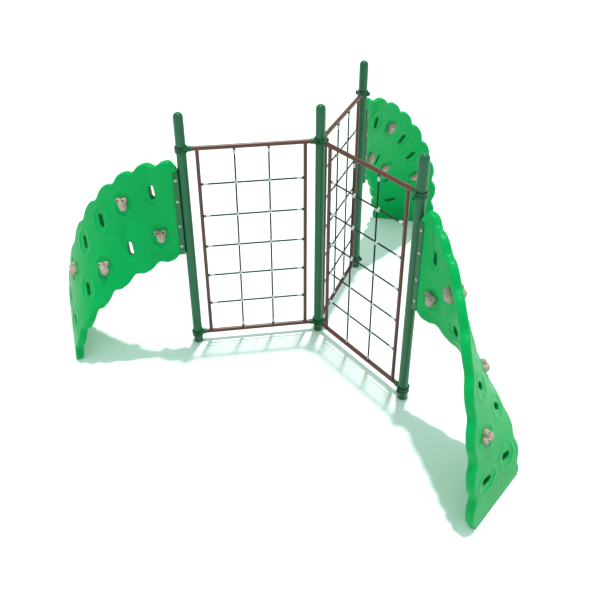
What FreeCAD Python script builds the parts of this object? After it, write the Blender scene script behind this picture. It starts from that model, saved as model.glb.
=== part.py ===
import FreeCAD, Part
import math
import os
import Sketcher
from FreeCAD import Placement, Rotation, Vector

# Three-armed climbing structure. A hub post stands at the origin, and three equal arms leave it
# 120 degrees apart. Each arm is a rope net in a steel frame, an outer post, and a twisted moulded
# climbing wall that arches from the outer post down to the ground. Ground is Z = 0.

doc = FreeCAD.newDocument("rock_climbing_wall")

DIMENSIONS = (
    ("post_spacing", 1232.0),
    ("post_radius", 44.45),
    ("post_bore", 41.4),
    ("post_length", 2452.0),
    ("cap_seat_radius", 42.6),
    ("cap_seat_depth", 25.0),
    ("cap_skin", 3.0),
    ("rail_low", 104.0),
    ("rail_high", 2149.0),
    ("rail_radius", 21.0),
    ("rail_bore", 18.5),
    ("rail_start", 50.0),
    ("stile_radius", 17.0),
    ("stile_bore", 14.5),
    ("stile_offset", 136.0),
    ("clamp_radius", 57.0),
    ("clamp_bore", 44.6),
    ("clamp_length", 58.0),
    ("clamp_split", 4.0),
    ("clamp_groove_radius", 52.5),
    ("clamp_groove_length", 9.0),
    ("socket_radius", 26.0),
    ("socket_bore", 21.2),
    ("socket_end", 88.0),
    ("lug_reach", 76.0),
    ("lug_thickness", 9.0),
    ("lug_length", 38.0),
    ("lug_bolt_circle", 66.5),
    ("lug_bolt_radius", 4.0),
    ("lug_bolt_head_radius", 7.5),
    ("lug_bolt_head_length", 5.0),
    ("rope_radius", 8.0),
    ("rope_stagger", 8.3),
    ("rope_rows", 5.0),
    ("rope_row_pitch", 333.0),
    ("rope_columns", 2.0),
    ("rope_column_pitch", 306.0),
    ("anchor_radius", 12.5),
    ("anchor_length", 16.0),
    ("ferrule_radius", 11.5),
    ("ferrule_length", 42.0),
    ("connector_radius", 20.0),
    ("connector_length", 42.0),
    ("rope_clearance", 0.15),
    ("bracket_start", 44.6),
    ("bracket_plate", 5.0),
    ("bracket_flange", 51.0),
    ("bracket_inner_width", 77.0),
    ("bracket_low", 1080.0),
    ("bracket_high", 1945.0),
    ("bracket_bolt_offset", 72.0),
    ("bracket_bolt_radius", 5.0),
    ("bracket_bolt_head_radius", 11.0),
    ("bracket_bolt_head_length", 6.0),
    ("bolt_clearance", 0.5),
    ("panel_start", 50.6),
    ("panel_thickness", 76.0),
    ("panel_skin", 6.0),
    ("panel_inner_reach", 1164.0),
    ("panel_inner_height", 1046.0),
    ("panel_inner_fullness", 1.68),
    ("panel_inner_sweep", 122.0),
    ("panel_inner_bow", 79.0),
    ("panel_outer_reach", 1300.0),
    ("panel_outer_height", 2036.0),
    ("panel_outer_fullness", 1.91),
    ("panel_outer_sweep", 583.0),
    ("panel_outer_bow", 115.0),
    ("panel_scallop", 20.0),
    ("panel_corner_drop", 42.0),
    ("slot_length", 130.0),
    ("slot_width", 50.0),
    ("hold_height", 50.0),
    ("hold_recess_depth", 24.0),
    ("hold_recess_radius", 11.0),
    ("hold_bolt_radius", 6.0),
    ("hold_bolt_head_radius", 9.5),
    ("hold_bolt_head_length", 8.0),
)

sheet = doc.addObject("Spreadsheet::Sheet", "Size")
for row, (alias, value) in enumerate(DIMENSIONS, start=1):
    sheet.set(f"A{row}", alias)
    sheet.set(f"B{row}", str(value))
    sheet.setAlias(f"B{row}", alias)
doc.recompute()

ARMS = (("left", 180.0), ("back", 60.0), ("right", 300.0))
BRACKET_BOLT_HEIGHTS = (1173.0, 1390.0, 1650.0, 1865.0)
UP = Vector(0, 0, 1)
TURN_TO_ARM = Rotation(Vector(0, 1, 0), 90)
TURN_ACROSS = Rotation(Vector(1, 0, 0), -90)
NO_TURN = Rotation()

sub_parts = []


def keep(label, item):
    """Names a finished sub-part after its node."""
    item.Label = label
    sub_parts.append(item)
    return item


def in_arm(angle, along, across, height, turn=NO_TURN):
    """A place in an arm's own frame: along the arm from the hub, across it, and up."""
    return Placement(Vector(), Rotation(UP, angle)) * Placement(Vector(along, across, height), turn)


def primitive(kind, label, place, **sizes):
    """A Part primitive whose sizes follow the sheet."""
    item = doc.addObject(kind, label)
    for size, formula in sizes.items():
        item.setExpression(size, formula)
    item.Placement = place
    return item


def rod(label, place, radius, length):
    return primitive("Part::Cylinder", label, place, Radius=radius, Height=length)


def group(label, items):
    compound = doc.addObject("Part::Compound", label)
    compound.Links = items
    return compound


def joined(label, items):
    fusion = doc.addObject("Part::MultiFuse", label)
    fusion.Shapes = items
    return fusion


def cut(label, base, *tools):
    result = doc.addObject("Part::Cut", label)
    result.Base = base
    result.Tool = tools[0] if len(tools) == 1 else joined(label + "_tools", list(tools))
    return result


def tube(label, place, radius, bore, length):
    outside = rod(label + "_outside", place, radius, length)
    inside = rod(label + "_inside", place, bore, length)
    return cut(label, outside, inside)


# ---------------------------------------------------------------- posts and their domed caps


def build_post(name, place):
    """A steel tube with a shallow counterbore at the top, where the cap's spigot sits."""
    wall = tube(name + "_wall", place, "Size.post_radius", "Size.post_bore", "Size.post_length")
    top = place * Placement(Vector(0, 0, sheet.post_length - sheet.cap_seat_depth), NO_TURN)
    seat = rod(name + "_seat", top, "Size.cap_seat_radius", "Size.cap_seat_depth")
    keep(name, cut(name + "_post", wall, seat))


def build_cap(name, place):
    """A hollow half-sphere on the post's rim, with a thin spigot down into the counterbore."""
    rim = place * Placement(Vector(0, 0, sheet.post_length), NO_TURN)
    foot = place * Placement(Vector(0, 0, sheet.post_length - sheet.cap_seat_depth), NO_TURN)
    dome = primitive("Part::Sphere", name + "_dome", rim, Radius="Size.post_radius")
    dome.Angle1 = 0
    hollow = primitive("Part::Sphere", name + "_hollow", rim, Radius="Size.cap_seat_radius - Size.cap_skin")
    spigot = rod(name + "_spigot", foot, "Size.cap_seat_radius", "Size.cap_seat_depth")
    throat = rod(name + "_throat", foot, "Size.cap_seat_radius - Size.cap_skin", "Size.cap_seat_depth")
    outside = joined(name + "_outside", [dome, spigot])
    inside = joined(name + "_inside", [hollow, throat])
    keep(name, cut(name + "_cap", outside, inside))


# ---------------------------------------------------------------- clamps that hold the rail ends


def build_clamp(name, place, span, has_socket):
    """One piece of a split collar round a post. It faces +X of its place, and spans an angle.

    A lug at each end takes a clamp bolt. A piece that carries a rail has a socket along +X.
    """
    half_length = sheet.clamp_length / 2
    split_angle = math.degrees(sheet.clamp_split / sheet.clamp_radius)
    arc = span - split_angle
    low = place * Placement(Vector(0, 0, -half_length), NO_TURN)
    face = Rotation(UP, -arc / 2)
    solids = []
    rim_length = "(Size.clamp_length - Size.clamp_groove_length) / 2"
    for part, up, radius, length in (("core", 0.0, "Size.clamp_groove_radius", "Size.clamp_length"),
                                     ("low_rim", 0.0, "Size.clamp_radius", rim_length),
                                     ("high_rim", half_length + sheet.clamp_groove_length / 2,
                                      "Size.clamp_radius", rim_length)):
        band = rod(f"{name}_{part}", low * Placement(Vector(0, 0, up), face), radius, length)
        band.Angle = arc
        solids.append(band)
    for side in (-1, 1):
        turn = Rotation(UP, side * span / 2)
        gap = sheet.clamp_split / 2
        edge = gap if side < 0 else -gap - sheet.lug_thickness
        corner = Vector(sheet.post_bore, edge, -sheet.lug_length / 2)
        lug_place = place * Placement(Vector(), turn) * Placement(corner, NO_TURN)
        lug = primitive("Part::Box", f"{name}_lug_{side + 1}", lug_place,
                        Length="Size.lug_reach - Size.post_bore", Width="Size.lug_thickness",
                        Height="Size.lug_length")
        solids.append(lug)
    if has_socket:
        stub = place * Placement(Vector(sheet.post_bore, 0, 0), TURN_TO_ARM)
        solids.append(rod(name + "_stub", stub, "Size.socket_radius", "Size.socket_end - Size.post_bore"))
    body = joined(name + "_body", solids)

    tools = [rod(name + "_bore", low, "Size.clamp_bore", "Size.clamp_length")]
    if has_socket:
        rail = place * Placement(Vector(sheet.rail_start, 0, 0), TURN_TO_ARM)
        tools.append(rod(name + "_rail_hole", rail, "Size.socket_bore", "Size.socket_end"))
    for side in (-1, 1):
        hole = place * Placement(Vector(), Rotation(UP, side * span / 2)) * Placement(
            Vector(sheet.lug_bolt_circle, -sheet.lug_reach / 2, 0), TURN_ACROSS)
        tools.append(rod(f"{name}_bolt_hole_{side + 1}", hole, "Size.lug_bolt_radius + Size.bolt_clearance",
                         "Size.lug_reach"))
    keep(name, cut(name + "_clamp", body, *tools))


def clamp_bolt(name, place):
    """A bolt across two lugs; its place has +Y along the bolt, and the origin between the lugs."""
    grip = sheet.lug_thickness + sheet.clamp_split / 2
    head = sheet.lug_bolt_head_length
    shank = rod(name + "_shank", place * Placement(Vector(0, -grip, 0), TURN_ACROSS),
                "Size.lug_bolt_radius", "2 * Size.lug_thickness + Size.clamp_split")
    dome = rod(name + "_head", place * Placement(Vector(0, grip, 0), TURN_ACROSS),
               "Size.lug_bolt_head_radius", "Size.lug_bolt_head_length")
    nut = rod(name + "_nut", place * Placement(Vector(0, -grip - head, 0), TURN_ACROSS),
              "Size.lug_bolt_head_radius", "Size.lug_bolt_head_length")
    return joined(name, [shank, dome, nut])


# ---------------------------------------------------------------- net frames


def build_frame(name, angle):
    """Two round rails into the clamps, and two stiles coped onto the rails."""
    rails = {}
    for level, height in (("bottom", sheet.rail_low), ("top", sheet.rail_high)):
        start = in_arm(angle, sheet.rail_start, 0, height, TURN_TO_ARM)
        rail = tube(f"{level}_{name}", start, "Size.rail_radius", "Size.rail_bore",
                    "Size.post_spacing - 2 * Size.rail_start")
        rails[level] = keep(f"{level}_rail_{name}", rail)
    for end, along in (("inner", sheet.stile_offset), ("outer", sheet.post_spacing - sheet.stile_offset)):
        base = in_arm(angle, along, 0, sheet.rail_low)
        stile = tube(f"{end}_{name}", base, "Size.stile_radius", "Size.stile_bore",
                     "Size.rail_high - Size.rail_low")
        copes = []
        for level, height in (("low", sheet.rail_low), ("high", sheet.rail_high)):
            cope = in_arm(angle, along - 2 * sheet.stile_radius, 0, height, TURN_TO_ARM)
            copes.append(rod(f"{end}_{name}_{level}_cope", cope, "Size.rail_radius", "4 * Size.stile_radius"))
        keep(f"{end}_stile_{name}", cut(f"{end}_stile_{name}_coped", stile, *copes))


# ---------------------------------------------------------------- rope nets

row_count = int(sheet.rope_rows)
column_count = int(sheet.rope_columns)
net_middle = (sheet.rail_low + sheet.rail_high) / 2
row_heights = [net_middle + sheet.rope_row_pitch * (i - (row_count - 1) / 2) for i in range(row_count)]
column_places = [sheet.post_spacing / 2 + sheet.rope_column_pitch * (i - (column_count - 1) / 2)
                 for i in range(column_count)]

anchors = []
ferrules = []
connectors = []


def rope_end(name, angle, fix, turn, tube_radius, tube_turn):
    """A rope's fixing at a tube: an anchor cup coped onto the tube, then a ferrule round the rope.

    fix is the tube's centre as (along, across, height), and turn points the rope away from it.
    """
    place = in_arm(angle, *fix, turn)
    cup = rod(name + "_cup", place, "Size.anchor_radius", f"{tube_radius} + Size.anchor_length")
    cope_place = in_arm(angle, fix[0], 0, fix[2], tube_turn) * Placement(
        Vector(0, 0, -2 * sheet.rail_radius), NO_TURN)
    cope = rod(name + "_cope", cope_place, tube_radius, "4 * Size.rail_radius")
    anchors.append(cut(name + "_anchor", cup, cope))
    reach = (sheet.stile_radius if tube_radius == "Size.stile_radius" else sheet.rail_radius)
    collar = place * Placement(Vector(0, 0, reach + sheet.anchor_length), NO_TURN)
    ferrules.append(tube(name + "_ferrule", collar, "Size.ferrule_radius",
                         "Size.rope_radius + Size.rope_clearance", "Size.ferrule_length"))


def build_net(name, angle):
    """Straight taut ropes: the horizontals pass on one side of the frame's plane, the verticals on
    the other, and a connector holds each crossing."""
    across_row = sheet.rope_stagger
    across_column = -sheet.rope_stagger
    rows = []
    columns = []
    row_start = sheet.stile_offset + sheet.stile_radius + sheet.anchor_length
    for i, height in enumerate(row_heights):
        place = in_arm(angle, row_start, across_row, height, TURN_TO_ARM)
        rows.append(rod(f"row_{name}_{i}", place, "Size.rope_radius",
                        "Size.post_spacing - 2 * (Size.stile_offset + Size.stile_radius + Size.anchor_length)"))
        rope_end(f"row_{name}_{i}_in", angle, (sheet.stile_offset, across_row, height), TURN_TO_ARM,
                 "Size.stile_radius", NO_TURN)
        rope_end(f"row_{name}_{i}_out", angle, (sheet.post_spacing - sheet.stile_offset, across_row, height),
                 Rotation(Vector(0, 1, 0), -90), "Size.stile_radius", NO_TURN)
    column_start = sheet.rail_low + sheet.rail_radius + sheet.anchor_length
    for i, along in enumerate(column_places):
        place = in_arm(angle, along, across_column, column_start)
        columns.append(rod(f"column_{name}_{i}", place, "Size.rope_radius",
                           "Size.rail_high - Size.rail_low - 2 * (Size.rail_radius + Size.anchor_length)"))
        rope_end(f"column_{name}_{i}_low", angle, (along, across_column, sheet.rail_low), NO_TURN,
                 "Size.rail_radius", TURN_TO_ARM)
        rope_end(f"column_{name}_{i}_high", angle, (along, across_column, sheet.rail_high),
                 Rotation(Vector(1, 0, 0), 180), "Size.rail_radius", TURN_TO_ARM)
    keep(f"horizontal_ropes_{name}", group(f"rows_{name}", rows))
    keep(f"vertical_ropes_{name}", group(f"columns_{name}", columns))

    for i, height in enumerate(row_heights):
        for j, along in enumerate(column_places):
            label = f"connector_{name}_{i}_{j}"
            place = in_arm(angle, along, -sheet.connector_length / 2, height, TURN_ACROSS)
            block = rod(label + "_block", place, "Size.connector_radius", "Size.connector_length")
            row_hole = rod(label + "_row", in_arm(angle, along - sheet.connector_length, across_row, height,
                                                  TURN_TO_ARM),
                           "Size.rope_radius + Size.rope_clearance", "2 * Size.connector_length")
            column_hole = rod(label + "_column", in_arm(angle, along, across_column,
                                                        height - sheet.connector_length),
                              "Size.rope_radius + Size.rope_clearance", "2 * Size.connector_length")
            connectors.append(cut(label, block, row_hole, column_hole))


# ---------------------------------------------------------------- twisted climbing walls
#
# A wall is a slab whose middle surface is ruled between two edge curves, both quarter arches that
# start upright at the outer post and end on the ground. turn runs from 0 at the post to a quarter
# turn at the foot, and share from 0 on the lower edge to 1 on the upper edge. Places are in the
# arm's frame. The two edges swing apart across the arm, so the wall twists as it comes down.

QUARTER = math.pi / 2
BRACKET_TURN = math.radians(4.2)
SWING_TURN = math.radians(13.0)
OUTER_SCALLOPS = 9
INNER_SCALLOPS = 7
INNER_SCALLOP_PHASE = math.radians(3.0)
CORNER_TURN = math.radians(3.4)
ROWS_PER_SCALLOP = 8
HOLLOW_END_TURN = math.radians(0.8)
SEW_GAP = 0.01


def swing(turn):
    """Holds the wall flat inside its bracket, then lets it leave the arm's plane smoothly."""
    part = min(max((turn - BRACKET_TURN) / (SWING_TURN - BRACKET_TURN), 0.0), 1.0)
    return part * part * (3 - 2 * part)


def arch(turn, reach, height, fullness):
    """A superellipse quarter: outward distance and height."""
    out = max(math.sin(turn), 0.0) ** (2 / fullness)
    rise = max(math.cos(turn), 0.0) ** (2 / fullness)
    return sheet.panel_start + (reach - sheet.panel_start) * out, height * rise


def middle(turn, share):
    """A point of the wall's middle surface."""
    sine = math.sin(turn)
    double = math.sin(2 * turn)
    inner_out, inner_up = arch(turn, sheet.panel_inner_reach, sheet.panel_inner_height,
                               sheet.panel_inner_fullness)
    outer_out, outer_up = arch(turn, sheet.panel_outer_reach, sheet.panel_outer_height,
                               sheet.panel_outer_fullness)
    inner_across = sheet.panel_inner_sweep * sine ** 3.7 + sheet.panel_inner_bow * double
    outer_across = -sheet.panel_outer_sweep * (0.09 * sine + 0.91 * sine * sine) - sheet.panel_outer_bow * double
    inner = Vector(sheet.post_spacing + inner_out, swing(turn) * inner_across, inner_up)
    outer = Vector(sheet.post_spacing + outer_out, swing(turn) * outer_across, outer_up)
    return inner * (1 - share) + outer * share


def ruling(turn):
    """The straight line across the wall, from the lower edge to the upper edge."""
    return middle(turn, 1) - middle(turn, 0)


def facing(turn, share):
    """The unit normal of the middle surface, on the side that faces out at the wall's foot."""
    step = math.radians(0.4)
    centre = min(max(turn, step), QUARTER - math.radians(1.0))
    forward = middle(centre + step, share) - middle(centre - step, share)
    normal = ruling(centre).cross(forward)
    normal.normalize()
    level = min(max((QUARTER - turn) / math.radians(8.0), 0.0), 1.0)
    normal.z = normal.z * level
    normal.normalize()
    return normal


def ripple(phase):
    """The scalloped edge: round crests and narrower valleys, one per unit of phase."""
    return -math.cos(2 * math.pi * phase) - 0.2 * math.cos(4 * math.pi * phase)


def corner_drop(turn):
    rest = max(1 - turn / CORNER_TURN, 0.0)
    return sheet.panel_corner_drop * rest * rest


def edge_shares(turn, inset):
    """Where the wall's lower and upper edges are on a ruling."""
    length = ruling(turn).Length
    upper_phase = turn / QUARTER * OUTER_SCALLOPS
    lower_phase = (turn - INNER_SCALLOP_PHASE) / QUARTER * INNER_SCALLOPS
    upper = sheet.panel_scallop * ripple(upper_phase) - corner_drop(turn) - inset
    lower = sheet.panel_scallop * ripple(lower_phase) - corner_drop(turn) - inset
    return -lower / length, 1 + upper / length


def wall_edge(side, upper, inset, first, last):
    """A long edge of the wall, or of its hollow: on one face, along the upper or lower side."""
    rows = OUTER_SCALLOPS * ROWS_PER_SCALLOP
    points = []
    for i in range(rows + 1):
        turn = first + (last - first) * i / rows
        share = edge_shares(turn, inset)[upper]
        offset = facing(turn, upper) * (side * (sheet.panel_thickness / 2 - inset))
        points.append(middle(turn, share) + offset)
    curve = Part.BSplineCurve()
    curve.interpolate(Points=points, Parameters=[i / rows for i in range(rows + 1)],
                      InitialTangent=(points[1] - points[0]) * rows,
                      FinalTangent=(points[-1] - points[-2]) * rows)
    return curve


def wall_block(inset, first, last):
    """A closed shell ruled between its four long edges, in one band for each outer scallop."""
    corners = ((1, 0), (1, 1), (-1, 1), (-1, 0))
    curves = [wall_edge(side, upper, inset, first, last) for side, upper in corners]
    faces = []
    for band in range(OUTER_SCALLOPS):
        low, high = band / OUTER_SCALLOPS, (band + 1) / OUTER_SCALLOPS
        edges = [curve.toShape(low, high) for curve in curves]
        for i in range(4):
            faces.append(Part.makeRuledSurface(edges[i], edges[(i + 1) % 4]))
    for end in (0, 1):
        tips = [curve.value(end) for curve in curves]
        sides = [Part.makeLine(tips[i], tips[(i + 1) % 4]) for i in range(4)]
        if inset:
            faces.append(Part.makeRuledSurface(sides[0], Part.makeLine(tips[3], tips[2])))
        else:
            faces.append(Part.Face(Part.Wire(sides)))
    skin = Part.Compound(faces)
    skin.sewShape(SEW_GAP)
    shell = skin.Shells[0]
    if Part.Solid(shell).Volume < 0:
        shell.reverse()
    return Part.Solid(shell)


def wall_frame(turn, share, side=1):
    """A place on the middle surface: +Z out of the wall's face, +Y up the ruling."""
    normal = facing(turn, share) * side
    along = ruling(turn)
    along.normalize()
    across = along.cross(normal)
    return Placement(middle(turn, share), Rotation(across, along, normal, "ZXY"))


OUTER_FEATURES = ("slot", "hold", "slot", "slot", "hold", "slot")
OUTER_SHARE = 0.735
OUTER_TURNS = (12.6, 26.4, 39.0, 51.3, 64.0, 76.6)
INNER_FEATURES = ("hold", "slot", "hold", "slot", "slot")
INNER_SHARE = 0.295
INNER_TURNS = (12.4, 28.2, 42.7, 55.8, 73.4)


def features(kind):
    """Where the wall's slots or rock holds are, as (turn, share)."""
    outer = [(math.radians(a), OUTER_SHARE) for a, k in zip(OUTER_TURNS, OUTER_FEATURES) if k == kind]
    inner = [(math.radians(a), INNER_SHARE) for a, k in zip(INNER_TURNS, INNER_FEATURES) if k == kind]
    return outer + inner


def slot_tool(turn, share, margin):
    """A round-ended slot through the wall, its length along the ruling."""
    half_width = sheet.slot_width / 2 + margin
    straight = sheet.slot_length / 2 - sheet.slot_width / 2
    depth = 2 * sheet.panel_thickness
    left = Vector(-half_width, -straight, -depth / 2)
    left_top = Vector(-half_width, straight, -depth / 2)
    right = Vector(half_width, -straight, -depth / 2)
    right_top = Vector(half_width, straight, -depth / 2)
    top = Part.Arc(left_top, Vector(0, straight + half_width, -depth / 2), right_top).toShape()
    bottom = Part.Arc(right, Vector(0, -straight - half_width, -depth / 2), left).toShape()
    outline = Part.Wire([Part.makeLine(left, left_top), top, Part.makeLine(right_top, right), bottom])
    tool = Part.Face(outline).extrude(Vector(0, 0, depth))
    tool.Placement = wall_frame(turn, share)
    return tool


def bolt_tool(place, x, y, radius, half):
    tool = Part.makeCylinder(radius, 2 * half, Vector(x, y, -half))
    tool.Placement = place
    return tool


HOLD_EAR_X = 30.0
HOLD_EAR_Y = 34.0


def hold_bolt_places():
    return ((HOLD_EAR_X, HOLD_EAR_Y), (-HOLD_EAR_X, HOLD_EAR_Y))


def bracket_tools(radius):
    """Cylinders across the wall where the bracket's bolts go through."""
    tools = []
    for height in BRACKET_BOLT_HEIGHTS:
        base = Vector(sheet.post_spacing + sheet.bracket_bolt_offset, -sheet.panel_thickness, height)
        tools.append(Part.makeCylinder(radius, 2 * sheet.panel_thickness, base, Vector(0, 1, 0)))
    return tools


def wall_shape():
    """A hollow moulding, closed all round, with a tube of skin round each slot and bolt."""
    skin = sheet.panel_skin
    holes = []
    for margin in (0.0, skin):
        tools = [slot_tool(turn, share, margin) for turn, share in features("slot")]
        tools += bracket_tools(sheet.bracket_bolt_radius + sheet.bolt_clearance + margin)
        radius = sheet.hold_bolt_radius + sheet.bolt_clearance + margin
        for turn, share in features("hold"):
            for x, y in hold_bolt_places():
                tools.append(bolt_tool(wall_frame(turn, share), x, y, radius, sheet.panel_thickness))
        holes.append(Part.Compound(tools))
    outside = wall_block(0.0, 0.0, QUARTER).cut(holes[0])
    hollow = wall_block(skin, HOLLOW_END_TURN, QUARTER - HOLLOW_END_TURN).cut(holes[1])
    inner_shell = hollow.Shells[0].copy()
    inner_shell.reverse()
    return Part.makeSolid(Part.Compound([outside.Shells[0], inner_shell]))


def seat_rise(turn, share, side, reach):
    """How far the curved face stands above its tangent plane under a hold."""
    frame = wall_frame(turn, share, side)
    flat = frame.inverse()
    rise = 0.0
    for turn_step in range(-5, 6):
        for share_step in range(-5, 6):
            near_turn = turn + math.radians(turn_step)
            near_share = share + share_step * 0.02
            offset = facing(near_turn, near_share) * (side * sheet.panel_thickness / 2)
            point = flat.multVec(middle(near_turn, near_share) + offset)
            if math.hypot(point.x, point.y) < reach:
                rise = max(rise, point.z - sheet.panel_thickness / 2)
    return rise


HOLD_REACH = 72.0


def hold_shape():
    """A three-lobed cast rock: two ears with bolt recesses, and one long lobe."""
    tall = sheet.hold_height
    lobes = ((HOLD_EAR_X, HOLD_EAR_Y, 24.0, 18.0), (-HOLD_EAR_X, HOLD_EAR_Y, 24.0, 18.0),
             (0.0, -34.0, 36.0, 24.0), (0.0, 6.0, 38.0, 28.0))
    solids = [Part.makeCone(low, high, tall, Vector(x, y, 0)) for x, y, low, high in lobes]
    rock = solids[0].multiFuse(solids[1:]).removeSplitter()
    for x, y in hold_bolt_places():
        hole = Part.makeCylinder(sheet.hold_bolt_radius + sheet.bolt_clearance, tall, Vector(x, y, 0))
        recess = Part.makeCylinder(sheet.hold_recess_radius, tall,
                                   Vector(x, y, tall - sheet.hold_recess_depth))
        rock = rock.cut(hole.fuse(recess))
    return rock


def hold_bolt_shape(x, y, low, high):
    """A through bolt from one hold's recess to the other's, with a head and a nut."""
    head = sheet.hold_bolt_head_length
    shank = Part.makeCylinder(sheet.hold_bolt_radius, high - low, Vector(x, y, low))
    cap = Part.makeCylinder(sheet.hold_bolt_head_radius, head, Vector(x, y, high))
    nut = Part.makeCylinder(sheet.hold_bolt_head_radius, head, Vector(x, y, low - head))
    return shank.fuse([cap, nut]).removeSplitter()


def hold_seats(turn, share):
    """How far the front and the back hold's base planes are from the middle surface."""
    half = sheet.panel_thickness / 2
    return [half + seat_rise(turn, share, side, HOLD_REACH) for side in (1, -1)]


def wall_holds():
    rock = hold_shape()
    placed = []
    for turn, share in features("hold"):
        for side, seat in zip((1, -1), hold_seats(turn, share)):
            copy = rock.copy()
            copy.Placement = wall_frame(turn, share, side) * Placement(Vector(0, 0, seat), NO_TURN)
            placed.append(copy)
    return Part.Compound(placed)


def wall_hold_bolts():
    floor = sheet.hold_height - sheet.hold_recess_depth
    placed = []
    for turn, share in features("hold"):
        front, back = hold_seats(turn, share)
        for x, y in hold_bolt_places():
            bolt = hold_bolt_shape(x, y, -back - floor, front + floor)
            bolt.Placement = wall_frame(turn, share)
            placed.append(bolt)
    return Part.Compound(placed)


def shaped(label, shape, angle):
    feature = doc.addObject("Part::Feature", label)
    feature.Shape = shape
    feature.Placement = in_arm(angle, 0, 0, 0)
    return feature


# ---------------------------------------------------------------- wall brackets


def build_bracket(name, angle):
    """A steel channel, welded down the outer post, that grips the wall's end."""
    body = doc.addObject("PartDesign::Body", f"bracket_{name}")
    plane = next(f for f in body.Origin.OriginFeatures if f.Role == "XY_Plane")
    sketch = body.newObject("Sketcher::SketchObject", f"bracket_{name}_section")
    sketch.AttachmentSupport = [(plane, "")]
    sketch.MapMode = "FlatFace"
    plate = sheet.bracket_plate
    flange = sheet.bracket_flange
    half_in = sheet.bracket_inner_width / 2
    half_out = half_in + plate
    corners = [Vector(0, -half_out, 0), Vector(flange, -half_out, 0), Vector(flange, -half_in, 0),
               Vector(plate, -half_in, 0), Vector(plate, half_in, 0), Vector(flange, half_in, 0),
               Vector(flange, half_out, 0), Vector(0, half_out, 0)]
    count = len(corners)
    for i in range(count):
        sketch.addGeometry(Part.LineSegment(corners[i], corners[(i + 1) % count]))
    for i in range(count):
        sketch.addConstraint(Sketcher.Constraint("Coincident", i, 2, (i + 1) % count, 1))
    for i in range(count):
        direction = "Horizontal" if i % 2 == 0 else "Vertical"
        sketch.addConstraint(Sketcher.Constraint(direction, i))
    sketch.addConstraint(Sketcher.Constraint("DistanceX", 0, 1, 0, 2, flange))
    sketch.setExpression("Constraints[16]", "Size.bracket_flange")
    pad = body.newObject("PartDesign::Pad", f"bracket_{name}_pad")
    pad.Profile = sketch
    pad.setExpression("Length", "Size.bracket_high - Size.bracket_low")
    body.Placement = in_arm(angle, sheet.post_spacing + sheet.bracket_start, 0, sheet.bracket_low)
    holes = []
    for i, height in enumerate(BRACKET_BOLT_HEIGHTS):
        place = in_arm(angle, sheet.post_spacing + sheet.bracket_bolt_offset, -sheet.panel_thickness, height,
                       TURN_ACROSS)
        holes.append(rod(f"bracket_{name}_hole_{i}", place, "Size.bracket_bolt_radius + Size.bolt_clearance",
                         "2 * Size.panel_thickness"))
    keep(f"wall_bracket_{name}", cut(f"bracket_{name}_drilled", body, *holes))


def bracket_bolt(name, angle, height):
    """A through bolt across the bracket's flanges and the wall, with a low head on each side."""
    half = sheet.bracket_inner_width / 2 + sheet.bracket_plate
    along = sheet.post_spacing + sheet.bracket_bolt_offset
    head = sheet.bracket_bolt_head_length
    shank = rod(name + "_shank", in_arm(angle, along, -half, height, TURN_ACROSS),
                "Size.bracket_bolt_radius", "Size.bracket_inner_width + 2 * Size.bracket_plate")
    near = rod(name + "_near", in_arm(angle, along, -half - head, height, TURN_ACROSS),
               "Size.bracket_bolt_head_radius", "Size.bracket_bolt_head_length")
    far = rod(name + "_far", in_arm(angle, along, half, height, TURN_ACROSS),
              "Size.bracket_bolt_head_radius", "Size.bracket_bolt_head_length")
    return joined(name, [shank, near, far])


# ---------------------------------------------------------------- assembly

build_post("hub_post", in_arm(0, 0, 0, 0))
build_cap("hub_cap", in_arm(0, 0, 0, 0))
clamp_bolts = []
bracket_bolts = []
hold_bolts = []

for level, height in (("bottom", sheet.rail_low), ("top", sheet.rail_high)):
    for arm, angle in ARMS:
        build_clamp(f"hub_clamp_{level}_{arm}", in_arm(angle, 0, 0, height), 120.0, True)
        seam = in_arm(angle + 60, sheet.lug_bolt_circle, 0, height)
        clamp_bolts.append(clamp_bolt(f"hub_bolt_{level}_{arm}", seam))

panel = wall_shape()
panel_holds = wall_holds()
panel_hold_bolts = wall_hold_bolts()

for arm, angle in ARMS:
    post_place = in_arm(angle, sheet.post_spacing, 0, 0)
    build_post(f"post_{arm}", post_place)
    build_cap(f"cap_{arm}", post_place)
    for level, height in (("bottom", sheet.rail_low), ("top", sheet.rail_high)):
        centre = in_arm(angle, sheet.post_spacing, 0, height)
        inward = centre * Placement(Vector(), Rotation(UP, 180))
        build_clamp(f"socket_clamp_{level}_{arm}", inward, 180.0, True)
        build_clamp(f"strap_clamp_{level}_{arm}", centre, 180.0, False)
        for side in (-1, 1):
            seam = centre * Placement(Vector(), Rotation(UP, side * 90)) * Placement(
                Vector(sheet.lug_bolt_circle, 0, 0), NO_TURN)
            clamp_bolts.append(clamp_bolt(f"post_bolt_{level}_{arm}_{side + 1}", seam))
    build_frame(arm, angle)
    build_net(arm, angle)
    build_bracket(arm, angle)
    for i, height in enumerate(BRACKET_BOLT_HEIGHTS):
        bracket_bolts.append(bracket_bolt(f"bracket_bolt_{arm}_{i}", angle, height))
    keep(f"climbing_wall_{arm}", shaped(f"wall_{arm}", panel, angle))
    keep(f"rock_holds_{arm}", shaped(f"holds_{arm}", panel_holds, angle))
    hold_bolts.append(shaped(f"hold_bolts_{arm}", panel_hold_bolts, angle))

keep("clamp_bolts", group("clamp_bolt_group", clamp_bolts))
keep("bracket_bolts", group("bracket_bolt_group", bracket_bolts))
keep("hold_bolts", group("hold_bolt_group", hold_bolts))
keep("rope_anchors", group("anchor_group", anchors))
keep("rope_ferrules", group("ferrule_group", ferrules))
keep("rope_connectors", group("connector_group", connectors))

doc.recompute()

# ---------------------------------------------------------------- checks and export

for item in doc.Objects:
    if "Invalid" in item.State or "Error" in item.State:
        raise RuntimeError(f"{item.Name} failed to build: {item.State}")

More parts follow.
